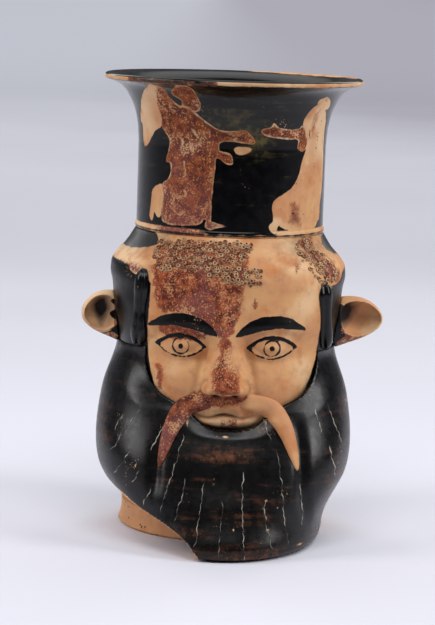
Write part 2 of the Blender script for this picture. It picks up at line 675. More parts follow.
def carvedDetail(x, z):
    # What the modeller's tool added to the pressed face: lids, lip line, nostrils, wings and groove of the lip
    side = np.abs(x)
    inside = eyeDistance(side, z)
    lids = face["lidThickness"] * bell(inside, face["lidWidth"])
    crease = -0.5 * bell(inside + 3.4, 1.1) * (z > eyeLevel) * bell(side - eyeOffset, facePart * 0.45)
    lipLine = -2.0 * bell(z - lipBow(x), 1.0) * np.clip(1.4 - (x / (facePart * 0.43)) ** 2, 0, 1)
    nostrils = -2.6 * bell(side - facePart * 0.16, 2.1) * bell(z - noseBase + 0.2, 1.6)
    wings = -1.5 * bell(wingDistance(side, z), 1.1) * np.clip((side - facePart * 0.22) / (facePart * 0.12), 0, 1)
    philtrum = -0.8 * bell(x, 1.7) * bell(z - (mouthLevel + noseBase) / 2 - 1.0, 3.2)
    # The sides of the nose are cut back, so that its ridge and its ball stand out
    flank = facePart * (0.46 - 0.18 * np.clip((z - noseBase) / facePart, 0, 1))
    sides = -2.6 * bell(side - flank, 2.6) * bell(z - noseBase - facePart * 0.38, facePart * 0.42)
    ball = 1.6 * bell(x, facePart * 0.20) * bell(z - noseBase - facePart * 0.20, facePart * 0.16)
    return lids + crease + lipLine + nostrils + wings * (z > noseBase - 1) + philtrum + sides + ball


def headPlace(turn, z):
    power = 2 / squarenessAt(z)
    x = halfWidthAt(z) * np.sign(np.sin(turn)) * np.abs(np.sin(turn)) ** power
    ahead = np.abs(np.cos(turn)) ** power
    fade = np.minimum(1, 2.2 * ahead)
    front = -frontAt(z) * ahead - (faceRelief(x, z) + carvedDetail(x, z)) * fade
    y = np.where(np.cos(turn) < 0, backAt(z) * ahead, front)
    return x, y


def turnOfX(x, z):
    across = np.clip(np.abs(x) / halfWidthAt(z), 0, 1)
    return np.sign(x) * np.arcsin(across ** (squarenessAt(z) / 2))


def headRows():
    low, top = forms["footHeight"], forms["seatHeight"]
    return np.concatenate((np.linspace(low, 54, 29)[:-1], np.linspace(54, 128, 122)[:-1], np.linspace(128, top, 24)))


skinDrawing = {
    # Black hair and the bands at the temples, places seen from the front
    "black": [
        [(-64, 151.5), (-37.0, 151.5), (-35.0, 149.0), (-34.4, 145.0), (-51.1, 141.6), (-64, 141.6)],
        [(-64, 135.8), (-48.8, 135.8), (-48.6, 131.6), (-37.6, 131.0), (-38.0, 119.0), (-38.9, 104.0), (-37.4, 88.0),
         (-33.0, 74.0), (-22.0, 70.0), (-22.0, 40.0), (-64, 40.0)],
        [(45.4, 151.5), (64, 151.5), (64, 139.2), (55.0, 139.6), (46.2, 145.3)],
        [(57.0, 134.2), (64, 134.2), (64, 40.0), (26, 40.0), (26.0, 70.0), (38.0, 74.0), (43.4, 88.0), (45.6, 104.0),
         (46.6, 116.0), (47.6, 127.4), (55.6, 128.0)],
    ],
    "redWash": [
        [(-37.5, 134.6), (-37.0, 148.6), (10.5, 149.0), (8.6, 134.0), (7.4, 122.0), (5.0, 112.0), (2.4, 104.0),
         (-6.0, 103.0), (-15.0, 111.0), (-25.0, 115.6), (-34.0, 112.6)],
        [(-3.6, 105.0), (3.0, 105.0), (2.2, 96.0), (6.8, 89.0), (7.2, 81.0), (3.0, 77.6), (-3.0, 77.6), (-7.2, 81.0),
         (-6.8, 89.0), (-2.6, 96.0)],
        [(-35, 108), (-20, 111), (-8, 104), (-16, 101), (-30, 102)],
        [(-54.5, 136.4), (-41.0, 136.4), (-41.0, 131.0), (-54.5, 131.0)],
        [(33.5, 150.6), (42.0, 150.6), (41.0, 144.0), (35.0, 143.8)],
        [(34.0, 146.0), (40.0, 146.2), (56.5, 134.4), (56.0, 129.0), (50.5, 128.4), (47.0, 134.0)],
        [(11.8, 124.0), (14.0, 124.0), (14.2, 118.0), (12.0, 118.0)],
        [(31.4, 138.6), (34.4, 138.4), (34.0, 134.2), (31.6, 134.6)],
        [(-34.0, 89.0), (-31.0, 89.0), (-30.0, 76.0), (-32.6, 76.4)],
        [(-19.0, 76.0), (-8.0, 79.0), (5.0, 77.6), (15.0, 77.0), (17.0, 73.0), (6.0, 71.4), (-8.0, 70.8), (-19.0, 71.0)],
        [(-3.5, 64.6), (5.5, 64.8), (6.5, 61.6), (3.0, 58.6), (-1.5, 58.8)],
    ],
    # The bare band under the shoulder: lowest, highest and how far back it goes
    "band": (135.8, 142.7, 17.0),
}


def paintHead(piece, outer):
    x, y, z = vertexValues(piece, "co", mm).T
    side = np.abs(x)
    black = insideAny(x, z, skinDrawing["black"], 1)
    red = insideAny(x, z, skinDrawing["redWash"])
    # Brows, thick arcs that taper outwards, and the eyes with ringed irises
    along = np.clip((side - face["browMiddle"]) / face["browHalfLength"], -1.05, 1.05)
    browLine = browLevel + 5.4 - 5.6 * along ** 2 + 1.2 * along
    thick = face["browThickness"] / 2 * np.clip(1 - np.abs(along) ** 3, 0, 1) ** 0.7 * (1 - 0.22 * along)
    brows = np.where(np.abs(along) < 1, thick - np.abs(z - browLine), -5)
    inside = eyeDistance(side, z)
    upperLine = 0.95 - np.abs(np.where(z > eyeLevel - 0.5, inside, 5))
    lowerLine = 0.45 - np.abs(np.where(z <= eyeLevel, inside, 5))
    iris = np.where(inside > 0, 0.42 - np.abs(np.hypot(side - eyeOffset, z - eyeLevel) - face["irisRadius"]), -5)
    pupil = face["pupilRadius"] - np.hypot(side - eyeOffset, z - eyeLevel)
    drawn = np.maximum.reduce([brows, upperLine, lowerLine, iris, pupil])
    front = (y < 0) & outer
    drawn = np.where(front, drawn, -50)
    # Behind the ears all is black but the band, which stops short of the back
    lowest, highest, furthest = skinDrawing["band"]
    band = np.minimum(np.minimum(z - lowest, highest - z), furthest - y)
    black = np.where(y > 1e-6, -band, black)
    red = np.where(y > 1e-6, -50, red)
    black = np.where(outer, black, 5)
    red = np.where(outer, red, -50)
    # Old dirt in the nostrils, between the lips, along the wings and on the shoulders
    bow = lipBow(x)
    nostrils = 1.2 * bell(side - facePart * 0.16, 2.0) * bell(z - noseBase + 0.2, 1.5)
    lips = 0.85 * bell(z - bow, 0.6) * bell(x, facePart * 0.40) + 0.15 * bell(z - bow - 2.2, 2.0) * bell(x, 18)
    creases = 0.30 * bell(wingDistance(side, z), 1.0) * (z > noseBase - 1) * (side > facePart * 0.27)
    under = 0.45 * bell(x, 9) * bell(z - noseBase + 1.4, 1.6)
    shoulders = 0.34 * np.clip((z - 137) / 8, 0, 1) * np.clip((side - 16) / 20, 0, 1)
    dirt = np.where(front, np.maximum.reduce([nostrils, lips, creases, under, shoulders]), -1)
    writePaint(piece, "soot", dirt)
    writePaint(piece, "slip", black)
    writePaint(piece, "wash", red)
    writePaint(piece, "lines", drawn)


def makeHead():
    rows = headRows()
    fine = math.asin((face["fineHalf"] / 57.0) ** 1.15)
    side = np.linspace(fine, math.pi / 2, 41)[1:]
    ahead = np.concatenate((-side[::-1], np.linspace(-fine, fine, 119), side))
    behind = np.linspace(math.pi / 2, math.pi * 1.5, 121)
    material = paintedPottery("atticClayFaceWithSlip", slip="slip", wash="wash", lines=True, soot=True,
                              slipRoughness=0.34, lineWear=0.42, indexOfRefraction=1.27, patchWear=0.04,
                              washColours=("#5C2418", "#A05030", "#D0A272"))
    for name, turns, node in (("faceSkin", ahead, "face_mould"), ("backSkin", behind, "back_mould")):
        turn, z = np.meshgrid(turns, rows)
        x, y = headPlace(turn, z)
        if node == "back_mould":
            y = np.maximum(y, 0)
        piece = bentGrid(name, x, y, z)
        count = len(piece.data.vertices)
        applyModifier(piece, "SOLIDIFY", thickness=face["wall"] * mm, offset=-1.0, use_rim=True)
        outer = np.arange(len(piece.data.vertices)) < count
        paintHead(piece, outer)
        finishPiece(piece, material, "reserved_clay" if node == "face_mould" else "black_gloss", node)


makeHead()
print("head skin is modelled and painted")


# Curls of pellets pressed on over the brow

curls = {
    "spacing": 1.80,
    "radius": 1.05,
    "height": 1.00,
    "fields": [
        [(-36.4, 147.2), (-36.2, 138.6), (-34.4, 134.6), (-24.5, 135.6), (-10.2, 134.6), (-1.8, 131.6), (8.5, 129.8),
         (15.6, 130.2), (15.4, 136.4), (5.0, 138.0), (8.8, 143.0), (10.8, 149.0), (-13.4, 149.4), (-30.4, 148.6)],
        [(31.5, 148.8), (39.0, 149.2), (46.0, 143.0), (54.5, 132.5), (50.5, 127.5), (45.6, 128.2), (41.5, 134.0),
         (36.5, 139.5)],
    ],
    # The lattice that the places are drawn on: left, bottom, columns, rows, and the rows' share of the spacing
    "lattice": (-42, 112, 80, 60, 0.87),
    "jitter": 0.65,
    "lost": 0.10,
    "sizes": (0.65, 1.30),
    "pressedIn": 0.25,
    # Rings of the pellet: rise as a share of the height, size as a share of the ring before
    "rings": [(0.60, 0.92), (0.40, 0.62), (-0.10, 0.62), (-0.45, 0.45)],
    "seed": 7,
}


def curlMaterial():
    # Pellets of clay rolled small and pricked: cream on the crown, red-brown in the pricks and between
    material, add = freshMaterial("clayPelletCurls")
    place = add("ShaderNodeTexCoord", out="Object")
    grain = add("ShaderNodeTexNoise", {"Vector": place, "Scale": 900.0, "Detail": 3.0})
    cloud = add("ShaderNodeTexNoise", {"Vector": place, "Scale": 120.0, "Detail": 3.0})
    cream = add("ShaderNodeMix", {0: cloud, 6: "#D2B68E", 7: "#8E6244"}, out=2, data_type="RGBA")
    deep = add("ShaderNodeMix", {0: grain, 6: "#34140E", 7: "#86462C"}, out=2, data_type="RGBA")
    lift = grain
    for layer in ("crown", "tint"):
        value = add("ShaderNodeAttribute", out="Fac", attribute_name=layer)
        lift = add("ShaderNodeMath", [lift, value], operation="ADD")
    mask = add("ShaderNodeMapRange", [lift, 1.20, 1.75])
    colour = add("ShaderNodeMix", {0: mask, 6: deep, 7: cream}, out=2, data_type="RGBA")
    bump = add("ShaderNodeBump", {"Height": grain, "Strength": 0.4, "Distance": 0.0003})
    body = add("ShaderNodeBsdfPrincipled", {"Base Color": colour, "Roughness": 0.75, "Normal": bump,
                                            "IOR": pottery["indexOfRefraction"]})
    add("ShaderNodeOutputMaterial", {"Surface": body})
    return material


def makePellet():
    # One curl: a disc raised by extruding, then its crown extruded back down and smaller
    bpy.ops.object.select_all(action="DESELECT")
    bpy.ops.mesh.primitive_circle_add(vertices=10, radius=curls["radius"] * mm, fill_type="NGON")
    pellet = bpy.context.object
    bpy.ops.object.mode_set(mode="EDIT")
    bpy.ops.mesh.select_all(action="SELECT")
    for lift, size in curls["rings"]:
        bpy.ops.mesh.extrude_region_move(TRANSFORM_OT_translate={"value": (0, 0, lift * curls["height"] * mm)})
        bpy.ops.transform.resize(value=(size, size, 1))
    bpy.ops.mesh.select_all(action="SELECT")
    bpy.ops.mesh.normals_make_consistent(inside=False)
    bpy.ops.object.mode_set(mode="OBJECT")
    return pellet


def curlPlaces():
    dice = random.Random(curls["seed"])
    step, jitter = curls["spacing"], curls["jitter"]
    left, bottom, columns, rows, rowShare = curls["lattice"]
    found = []
    for j in range(rows):
        for i in range(columns):
            x = left + (i + 0.5 * (j % 2)) * step + dice.uniform(-jitter, jitter)
            z = bottom + j * step * rowShare + dice.uniform(-jitter, jitter)
            if insideAny(np.array([x]), np.array([z]), curls["fields"], 0)[0] > -0.3:
                if dice.random() > curls["lost"]:
                    found.append((x, z, dice.uniform(*curls["sizes"]), dice.uniform(0, 1), dice.uniform(0, 6.3)))
    return found


def makeCurls():
    pellet = makePellet()
    crownOf = vertexValues(pellet, "co", mm)
    radius = np.hypot(crownOf[:, 0], crownOf[:, 1])
    crown = np.where(crownOf[:, 2] > 0.55 * curls["height"], 0.75, 0.15)
    crown = np.where(radius < 0.45 * curls["radius"], 0.0, crown)
    writePaint(pellet, "crown", crown)
    copies = []
    for x, z, size, tint, spin in curlPlaces():
        nearX = np.array([x - 0.5, x + 0.5, x, x, x])
        nearZ = np.array([z, z, z - 0.5, z + 0.5, z])
        px, py = headPlace(turnOfX(nearX, nearZ), nearZ)
        points = [Vector((px[k], py[k], nearZ[k])) for k in range(5)]
        outward = (points[1] - points[0]).cross(points[3] - points[2]).normalized()
        copy = pellet.copy()
        copy.data = pellet.data.copy()
        bpy.context.scene.collection.objects.link(copy)
        copy.rotation_mode = "QUATERNION"
        copy.rotation_quaternion = outward.to_track_quat("Z", "Y") @ Quaternion((0, 0, 1), spin)
        copy.location = (points[4] - outward * curls["pressedIn"]) * mm
        copy.scale = (size, size, size)
        writePaint(copy, "tint", np.full(len(copy.data.vertices), 0.9 * tint))
        copies.append(copy)
    bpy.data.objects.remove(pellet)
    selectOnly(*copies)
    bpy.ops.object.transform_apply(location=True, rotation=True, scale=True)
    bpy.ops.object.join()
    piece = bpy.context.object
    piece.name = "browCurls"
    finishPiece(piece, curlMaterial(), "added_clay", "curl_fringe")
    return len(copies)


print("curls pressed on:", makeCurls())


# Thrown neck with two draped figures in reserve

neck = {
    "rounds": 400,
    "wallStep": 0.8,
    # Places are millimetres round the wall from the middle of the front, and height
    "clay": {
        "cloakEnd": [(-35.2, 224.2), (-32.2, 224.2), (-36.5, 219.7), (-38.9, 214.4), (-38.5, 208.3), (-38.7, 202.7),
            (-42.7, 201.6), (-45.8, 199.3), (-50.5, 193.8), (-54.0, 192.1), (-56.5, 192.6), (-57.6, 198.6),
            (-56.9, 203.5), (-59.8, 204.6), (-56.5, 210.0), (-49.8, 216.5), (-43.7, 220.7)],
        "trainLeft": [(-45.0, 173.0), (-38.1, 175.4), (-37.4, 173.1), (-37.3, 165.3), (-38.4, 158.7), (-40.6, 158.1),
            (-42.1, 159.7), (-43.7, 161.4), (-44.5, 156.5), (-46.6, 156.3), (-47.9, 159.3), (-46.5, 164.6),
            (-46.4, 169.0)],
        "bowl": [(0.6, 194.7), (3.9, 195.6), (9.5, 194.9), (8.7, 193.0), (5.8, 191.6), (2.4, 191.4), (1.0, 193.0)],
        "rightHead": [(42.5, 216.0), (41.5, 218.2), (44.7, 219.8), (48.4, 219.6), (52.6, 217.6), (55.6, 214.9),
            (54.1, 213.2), (48.9, 213.7), (46.1, 214.2)],
        "rightRobe": [(42.5, 216.0), (46.1, 214.2), (52.3, 213.6), (57.7, 208.2), (60.2, 201.1), (62.3, 183.4),
            (60.0, 169.6), (58.0, 166.3), (58.5, 157.4), (56.1, 158.5), (53.0, 154.9), (48.2, 154.0), (43.3, 154.4),
            (42.0, 152.4), (34.1, 153.8), (26.4, 156.0), (24.8, 157.8), (23.0, 153.6), (22.0, 152.8), (19.5, 155.5),
            (19.5, 157.2), (22.2, 159.7), (20.5, 166.2), (21.8, 169.6), (27.7, 172.7), (33.0, 175.9), (36.4, 180.9),
            (38.5, 188.5), (42.5, 196.9), (38.9, 202.3), (36.2, 207.6), (38.2, 211.8), (40.8, 215.2)],
    },
    "red": {
        "leftRobe": [(-32.2, 224.2), (-30.8, 223.0), (-30.0, 217.8), (-26.5, 214.0), (-22.9, 213.9), (-19.3, 211.6),
            (-16.5, 209.5), (-11.5, 205.7), (-7.3, 203.2), (-3.9, 202.6), (1.1, 202.8), (5.2, 203.7), (7.4, 202.4),
            (10.2, 199.3), (11.1, 197.6), (9.9, 196.7), (7.3, 197.2), (4.7, 197.3), (-0.4, 198.1), (-5.5, 197.7),
            (-6.9, 196.4), (-6.8, 193.0), (-3.6, 192.3), (-0.6, 191.5), (0.4, 187.9), (-0.4, 186.6), (-3.4, 187.1),
            (-6.5, 189.6), (-8.2, 189.6), (-8.3, 186.2), (-9.0, 177.6), (-9.6, 169.1), (-9.6, 160.5), (-10.1, 158.6),
            (-13.4, 160.0), (-14.2, 157.8), (-17.3, 156.2), (-29.2, 155.6), (-34.8, 155.9), (-38.0, 157.9),
            (-37.0, 165.3), (-37.4, 173.1), (-37.8, 175.2), (-33.3, 178.0), (-32.1, 182.0), (-32.5, 186.2),
            (-36.0, 186.1), (-35.2, 188.7), (-33.9, 192.2), (-33.3, 197.4), (-36.2, 200.7), (-38.7, 202.7),
            (-38.5, 208.3), (-38.9, 214.4), (-36.5, 219.7)],
        "leftHead": [(-27.3, 221.4), (-23.6, 223.7), (-19.0, 224.8), (-17.0, 223.5), (-16.0, 219.0), (-15.0, 215.1),
            (-15.7, 213.0), (-17.5, 211.6), (-19.3, 211.6), (-20.3, 213.3), (-24.2, 213.9), (-23.6, 217.1),
            (-26.8, 218.8), (-28.3, 220.0)],
        "leftShoe": [(-11.2, 160.1), (-9.8, 158.4), (-5.9, 157.6), (-2.0, 156.8), (-2.4, 156.2), (-6.7, 155.9),
            (-9.2, 154.4), (-11.0, 154.9), (-12.6, 155.7), (-12.2, 157.9)],
        "rightArm": [(13.4, 203.1), (14.6, 204.4), (18.9, 205.2), (19.6, 207.3), (21.7, 205.1), (25.7, 204.1),
            (34.2, 203.8), (36.6, 206.3), (39.2, 203.5), (40.0, 199.6), (42.1, 196.8), (40.2, 193.6), (37.6, 193.0),
            (35.0, 194.3), (34.8, 196.4), (35.6, 199.4), (28.4, 199.3), (18.5, 200.4), (14.9, 201.4)],
    },
    # Rubbed brown on the bare clay
    "stains": {
        "hem": [(28.9, 170.2), (37.0, 171.6), (41.6, 158.9), (41.9, 153.7), (32.9, 154.8), (26.3, 156.9),
            (30.3, 163.1)],
        "breast": [(42.0, 211.0), (48.0, 212.4), (50.0, 205.0), (46.0, 199.0), (42.6, 202.0)],
    },
    # Arcs scraped through the red
    "arcs": [[(-33.0, 175.0), (-30.0, 170.6), (-25.0, 169.2)], [(-24.0, 169.6), (-22.6, 171.4), (-24.2, 172.6)],
             [(-19.0, 164.6), (-16.0, 165.4)], [(-24.6, 186.6), (-23.8, 181.0), (-26.0, 176.4)],
             [(-29.0, 200.0), (-25.8, 197.0), (-26.4, 192.0)], [(-20.0, 203.0), (-17.4, 199.0)]],
    "folds": [
        [(45.2, 210.6), (47.2, 214.4)], [(32.5, 162.8), (41.4, 162.2)], [(47.6, 218.1), (48.4, 217.9)],
        [(42.6, 203.6), (44.0, 197.4)], [(-9.0, 201.6), (-1.0, 200.2), (6.0, 201.0)], [(-30.0, 213.0), (-24.0, 209.0)],
    ],
    "dottedFolds": [
        [(36.7, 186.9), (35.1, 180.9), (34.3, 175.0), (34.0, 168.1), (33.6, 163.8)],
        [(52.0, 209.0), (50.6, 196.0), (48.0, 182.0)],
    ],
    # Olive where the gloss misfired: across, up, half-width, half-height, strength. The last is along the lip.
    "olive": [(-1, 206, 18, 8, 0.95), (12, 197, 8, 8, 0.80), (-30, 224, 60, 5, 0.35)],
    # Bare patch inside the lip: across, half-length, radius, half-width
    "barePatch": (112, 33, 62.4, 2.6),
}
flareReach = smoothCurve(flareCurve)
lipMiddle = forms["rimRadius"] - forms["lipThickness"] / 2


def wallRadiusAt(share):
    # Share of the flare's height, from 0 where it starts
    return forms["neckRadius"] + flareReach(share) * (lipMiddle - forms["neckRadius"])


def neckProfile():
    bore = forms["neckRadius"] - forms["neckWall"]
    seat, rim, lip = forms["seatHeight"], forms["rimHeight"], forms["lipThickness"]
    flareStart = rim - forms["flareHeight"]
    half = forms["beadHeight"] / 2
    profile = []
    for turn in np.linspace(-math.pi / 2, math.pi / 2, 6)[:-1]:
        proud = forms["beadProud"] * math.cos(turn)
        profile.append((forms["neckRadius"] + proud, seat + half + half * math.sin(turn)))
    for z in np.arange(seat + forms["beadHeight"], flareStart, neck["wallStep"]):
        profile.append((forms["neckRadius"], z))
    for share in np.linspace(0, 1, 56)[:-1]:
        profile.append((float(wallRadiusAt(share)), flareStart + share * (rim - lip - flareStart)))
    for turn in np.linspace(-math.pi / 2, math.pi / 2, 9):
        profile.append((lipMiddle + lip / 2 * math.cos(turn), rim - lip / 2 + lip / 2 * math.sin(turn)))
    for share in np.linspace(1, 0, 22)[1:]:
        profile.append((bore + float(flareReach(share)) * (lipMiddle - bore), flareStart + share * (rim - flareStart)))
    for z in np.linspace(flareStart, seat, 14)[1:]:
        profile.append((bore, z))
    return profile


def spunPiece(name, profile, rounds):
    # The outline drawn by extruding one point, then spun on the wheel
    radius, z = profile[0]
    bpy.ops.object.select_all(action="DESELECT")
    bpy.ops.mesh.primitive_plane_add(size=mm, location=(0, 0, 0))
    piece = bpy.context.object
    piece.name = name
    bpy.ops.object.mode_set(mode="EDIT")
    bpy.ops.mesh.select_all(action="SELECT")
    bpy.ops.mesh.merge(type="CENTER")
    bpy.ops.transform.translate(value=(radius * mm, 0, z * mm))
    for (r0, z0), (r1, z1) in zip(profile[:-1], profile[1:]):
        bpy.ops.mesh.extrude_region_move(TRANSFORM_OT_translate={"value": ((r1 - r0) * mm, 0, (z1 - z0) * mm)})
    bpy.ops.mesh.select_all(action="SELECT")
    bpy.ops.mesh.spin(steps=rounds, angle=2 * math.pi, center=(0, 0, 0), axis=(0, 0, 1))
    bpy.ops.mesh.select_all(action="SELECT")
    bpy.ops.mesh.remove_doubles(threshold=0.00002)
    # The two rings at the seat are joined, so that the wall is closed underneath
    bpy.ops.mesh.select_all(action="DESELECT")
    bpy.ops.mesh.select_non_manifold(extend=False, use_wire=False, use_multi_face=False, use_non_contiguous=False,
                                     use_verts=False)
    bpy.ops.mesh.bridge_edge_loops()
    bpy.ops.mesh.select_all(action="SELECT")
    bpy.ops.mesh.normals_make_consistent(inside=False)
    bpy.ops.object.mode_set(mode="OBJECT")
    return piece


def paintNeck(piece):
    x, y, z = vertexValues(piece, "co", mm).T
    radius = np.hypot(x, y)
    across = np.arctan2(x, -y) * forms["neckRadius"]
    seat, rim = forms["seatHeight"], forms["rimHeight"]
    share = np.clip((z - rim + forms["flareHeight"]) / (forms["flareHeight"] - forms["lipThickness"]), 0, 1)
    outer = (radius > wallRadiusAt(share) - 0.6) & (z < rim - 0.5)
    clay = insideAny(across, z, neck["clay"].values(), 1)
    red = insideAny(across, z, neck["red"].values(), 1)
    for k, line in enumerate(neck["arcs"]):
        arc = distanceToLine(across, z, wavy(throughPoints(line), 0.3, 7.0, k)) - 0.10
        clay = np.maximum(clay, -arc)
        red = np.minimum(red, arc)
    # Reserved lines at the foot of the neck and under the lip
    baseLine = np.minimum(z - seat - 1.2, seat + 3.4 - z)
    baseLine = np.minimum(baseLine, 0.15 * np.maximum(-14 - across, across - 24))
    thinBase = np.where(across < 24, 0.25 - np.abs(z - seat - 1.3), -5)
    baseBand = np.minimum(z - seat + 1, seat + 0.4 - z)
    # The line under the lip is bare from the middle round to the right and at the far left, red-brown between
    lipLine = np.minimum(z - rim + 2.6, rim - 0.7 - z)
    bareLip = np.maximum(across + 8, np.minimum(across + 84, -41 - across))
    reserved = np.maximum.reduce([clay, baseLine, thinBase, baseBand, np.minimum(lipLine, bareLip)])
    slip = np.where(outer, -np.maximum(reserved, red + 0.06), 5)
    wornLip = np.minimum(np.minimum(lipLine + 1, -6 - across), across + 44)
    slip = np.where(wornLip > 0, np.minimum(slip, 0.16), slip)
    # A worn patch inside the lip on the far right
    patchMiddle, patchHalf, patchRadius, patchWidth = neck["barePatch"]
    patch = 1.5 * (1 - np.hypot((across - patchMiddle) / patchHalf, (radius - patchRadius) / patchWidth))
    inside = (~outer) & (z > rim - 14)
    slip = np.where(inside, -patch, slip)
    baseRed = np.minimum(np.minimum(seat + 4.4 - z, z - seat + 2), 0.1 * np.minimum(across + 42, -10 - across))
    wash = np.where(outer, np.maximum.reduce([red, np.minimum(wornLip, 0.9), np.minimum(baseRed, 1.5)]), -50)
    stain = 0.22 * insideAny(across, z, neck["stains"].values()) - 0.5
    wash = np.where(outer, np.maximum(wash, stain), wash)
    wash = np.where(inside, np.minimum(patch, 0.1) - 0.4, wash)
    glows = [strength * bell(across - middle, wide) * bell(z - up, tall)
             for middle, up, wide, tall, strength in neck["olive"]]
    olive = np.minimum(glows[0] + glows[1], 0.95) + glows[2]
    writePaint(piece, "misfire", np.where(outer, olive, np.where(inside, 0.1, 0)))
    folds = np.full(x.shape, -50.0)
    for k, line in enumerate(neck["folds"]):
        curve = wavy(line, 0.25, 9.0, k)
        folds = np.maximum(folds, 0.30 - distanceToLine(across, z, curve))
    for k, line in enumerate(neck["dottedFolds"]):
        dots = 0.34 - distanceToLine(across, z, wavy(line, 0.3, 8.0, k)) - 0.6 * (np.sin(z * 3.3 + k) < -0.1)
        folds = np.maximum(folds, dots)
    folds = np.where(outer, folds, -50)
    lowLine = 0.5 - np.abs(z - seat - 0.9)
    writePaint(piece, "slip", slip)
    writePaint(piece, "wash", wash)
    writePaint(piece, "lines", np.where(outer, np.maximum(folds, lowLine), -50))


def makeNeck():
    piece = spunPiece("thrownNeck", neckProfile(), neck["rounds"])
    paintNeck(piece)
    material = paintedPottery("redFigureNeck", slip="slip", wash="wash", lines=True, misfire=True, chips=0.15,
                              raggedness=0.7, patchWear=0.01, slipRoughness=0.17, lowMauve=0.185,
                              rustColours=("#24231A", "#5C5030"), washColours=("#5A2216", "#944A20", "#CE9258"))
    finishPiece(piece, material, "black_gloss", "neck")
    bpy.ops.object.shade_smooth_by_angle(angle=math.radians(50))


makeNeck()
print("neck is thrown and painted")


# Beard with incised locks

beard = {
    "voxel": 0.72,
    "smoothing": 4,
    "edgeBlend": 15.0,
    "edgeSink": 3.6,
    "lipBlend": 4.0,
    "lipSink": 1.4,
    "cornerBulge": 1.5,
    "openingHalf": 41.3,
    "openingTop": 105.0,
    "furrowDepth": 1.6,
    "furrowWidth": 3.0,
    "grooves": [
        [(-19.2, 56.4), (-21.4, 49.2), (-23.9, 40.1), (-26.9, 30.8), (-29.4, 21.5)],
        [(-17.9, 36.6), (-19.1, 29.4), (-21.2, 22.6), (-22.8, 14.9)],
        [(-9.2, 34.9), (-9.8, 26.6), (-10.9, 19.1), (-11.9, 8.3)],
        [(0.7, 27.1), (0.0, 19.7), (-0.6, 11.2), (-0.8, 3.7)],
        [(9.9, 40.3), (9.8, 28.5), (10.6, 15.5), (11.8, 2.0)],
        [(20.8, 27.9), (21.0, 21.2), (22.7, 13.6), (24.8, 6.2)],
        [(26.5, 49.4), (28.2, 39.1), (29.5, 28.3), (30.3, 18.6), (32.5, 7.7)],
        [(-41.9, 65.8), (-46.6, 58.7), (-50.9, 51.5), (-54.2, 45.6)],
        [(-29.7, 60.0), (-31.9, 55.3), (-35.1, 49.6)], [(-45.0, 46.8), (-48.8, 41.0), (-52.7, 34.6)],
        [(-40.5, 38.0), (-43.3, 32.8)], [(-34.7, 30.7), (-37.9, 22.6)],
        [(44.4, 68.2), (46.5, 62.4), (48.7, 54.9)], [(51.0, 69.6), (54.8, 60.2), (59.5, 49.5)],
        [(18.6, 66.0), (20.4, 61.0), (22.8, 56.6)], [(52.0, 50.0), (54.6, 42.0), (55.4, 36.0)],
        [(-50.0, 62.0), (-53.6, 55.0)], [(38.6, 34.0), (39.4, 24.0), (38.8, 14.0)],
    ],
    # Where the middle of the beard meets its side locks
    "furrows": [
        [(33.9, 68.1), (36.6, 57.9), (38.1, 47.5), (38.8, 38.3), (39.9, 26.3), (42.5, 12.5)],
        [(-27.3, 62.0), (-30.8, 52.7), (-32.3, 42.8), (-32.8, 32.2), (-34.4, 22.6)],
    ],
    # Places where the slip fired brown: across, up, half-width, half-height, strength
    "brownPatches": [(2.5, 49.0, 14, 3.2, 1.00), (-9, 37.5, 5, 1.5, 0.50), (2, 3, 40, 5, 0.60), (56, 34, 7, 16, 0.45),
                     (-60, 58, 4, 18, 0.40), (22, 24, 9, 7, 0.30), (8, 20, 24, 7, 0.25), (-16, 12, 12, 8, 0.30),
                     (60, 62, 5, 14, 0.30)],
    # Where it chipped off: across, up, half-width, half-height
    "chips": [(1.0, 56.8, 1.1, 0.30), (20.3, 63.6, 0.4, 1.1), (22.4, 60.2, 0.3, 0.8), (-17.8, 62.4, 0.5, 1.5),
              (21.3, 28.3, 0.5, 0.3), (19.7, 25.0, 0.3, 0.6), (22.2, 14.8, 0.6, 0.3), (19.4, 9.4, 0.4, 0.3),
              (5.9, 15.5, 0.25, 0.4), (-18.2, 19.3, 0.8, 0.2), (38.5, 5.0, 1.2, 0.3), (27.0, 24.6, 0.3, 0.3)],
    "breakLine": [(-68.5, 31.5), (-52.1, 25.6), (-42.5, 20.9), (-30.0, 16.2), (-20.0, 11.0), (-14.75, 6.8),
                  (-11.9, 2.3), (-9.4, -4.0)],
}


def faceOpening():
    half = beard["openingHalf"]
    lipLine = forms["chin"] + facePart * 0.42
    right = [(half, beard["openingTop"]), (half * 1.01, eyeLevel - facePart * 0.4), (half * 0.88, noseBase),
             (half * 0.67, noseBase - facePart * 0.17), (half * 0.46, mouthLevel), (half * 0.30, lipLine + half * 0.05)]
    left = [(-x, z) for x, z in right]
    return throughPoints([(x + forms["hairShift"], z) for x, z in left + [(0, lipLine)] + right[::-1]])


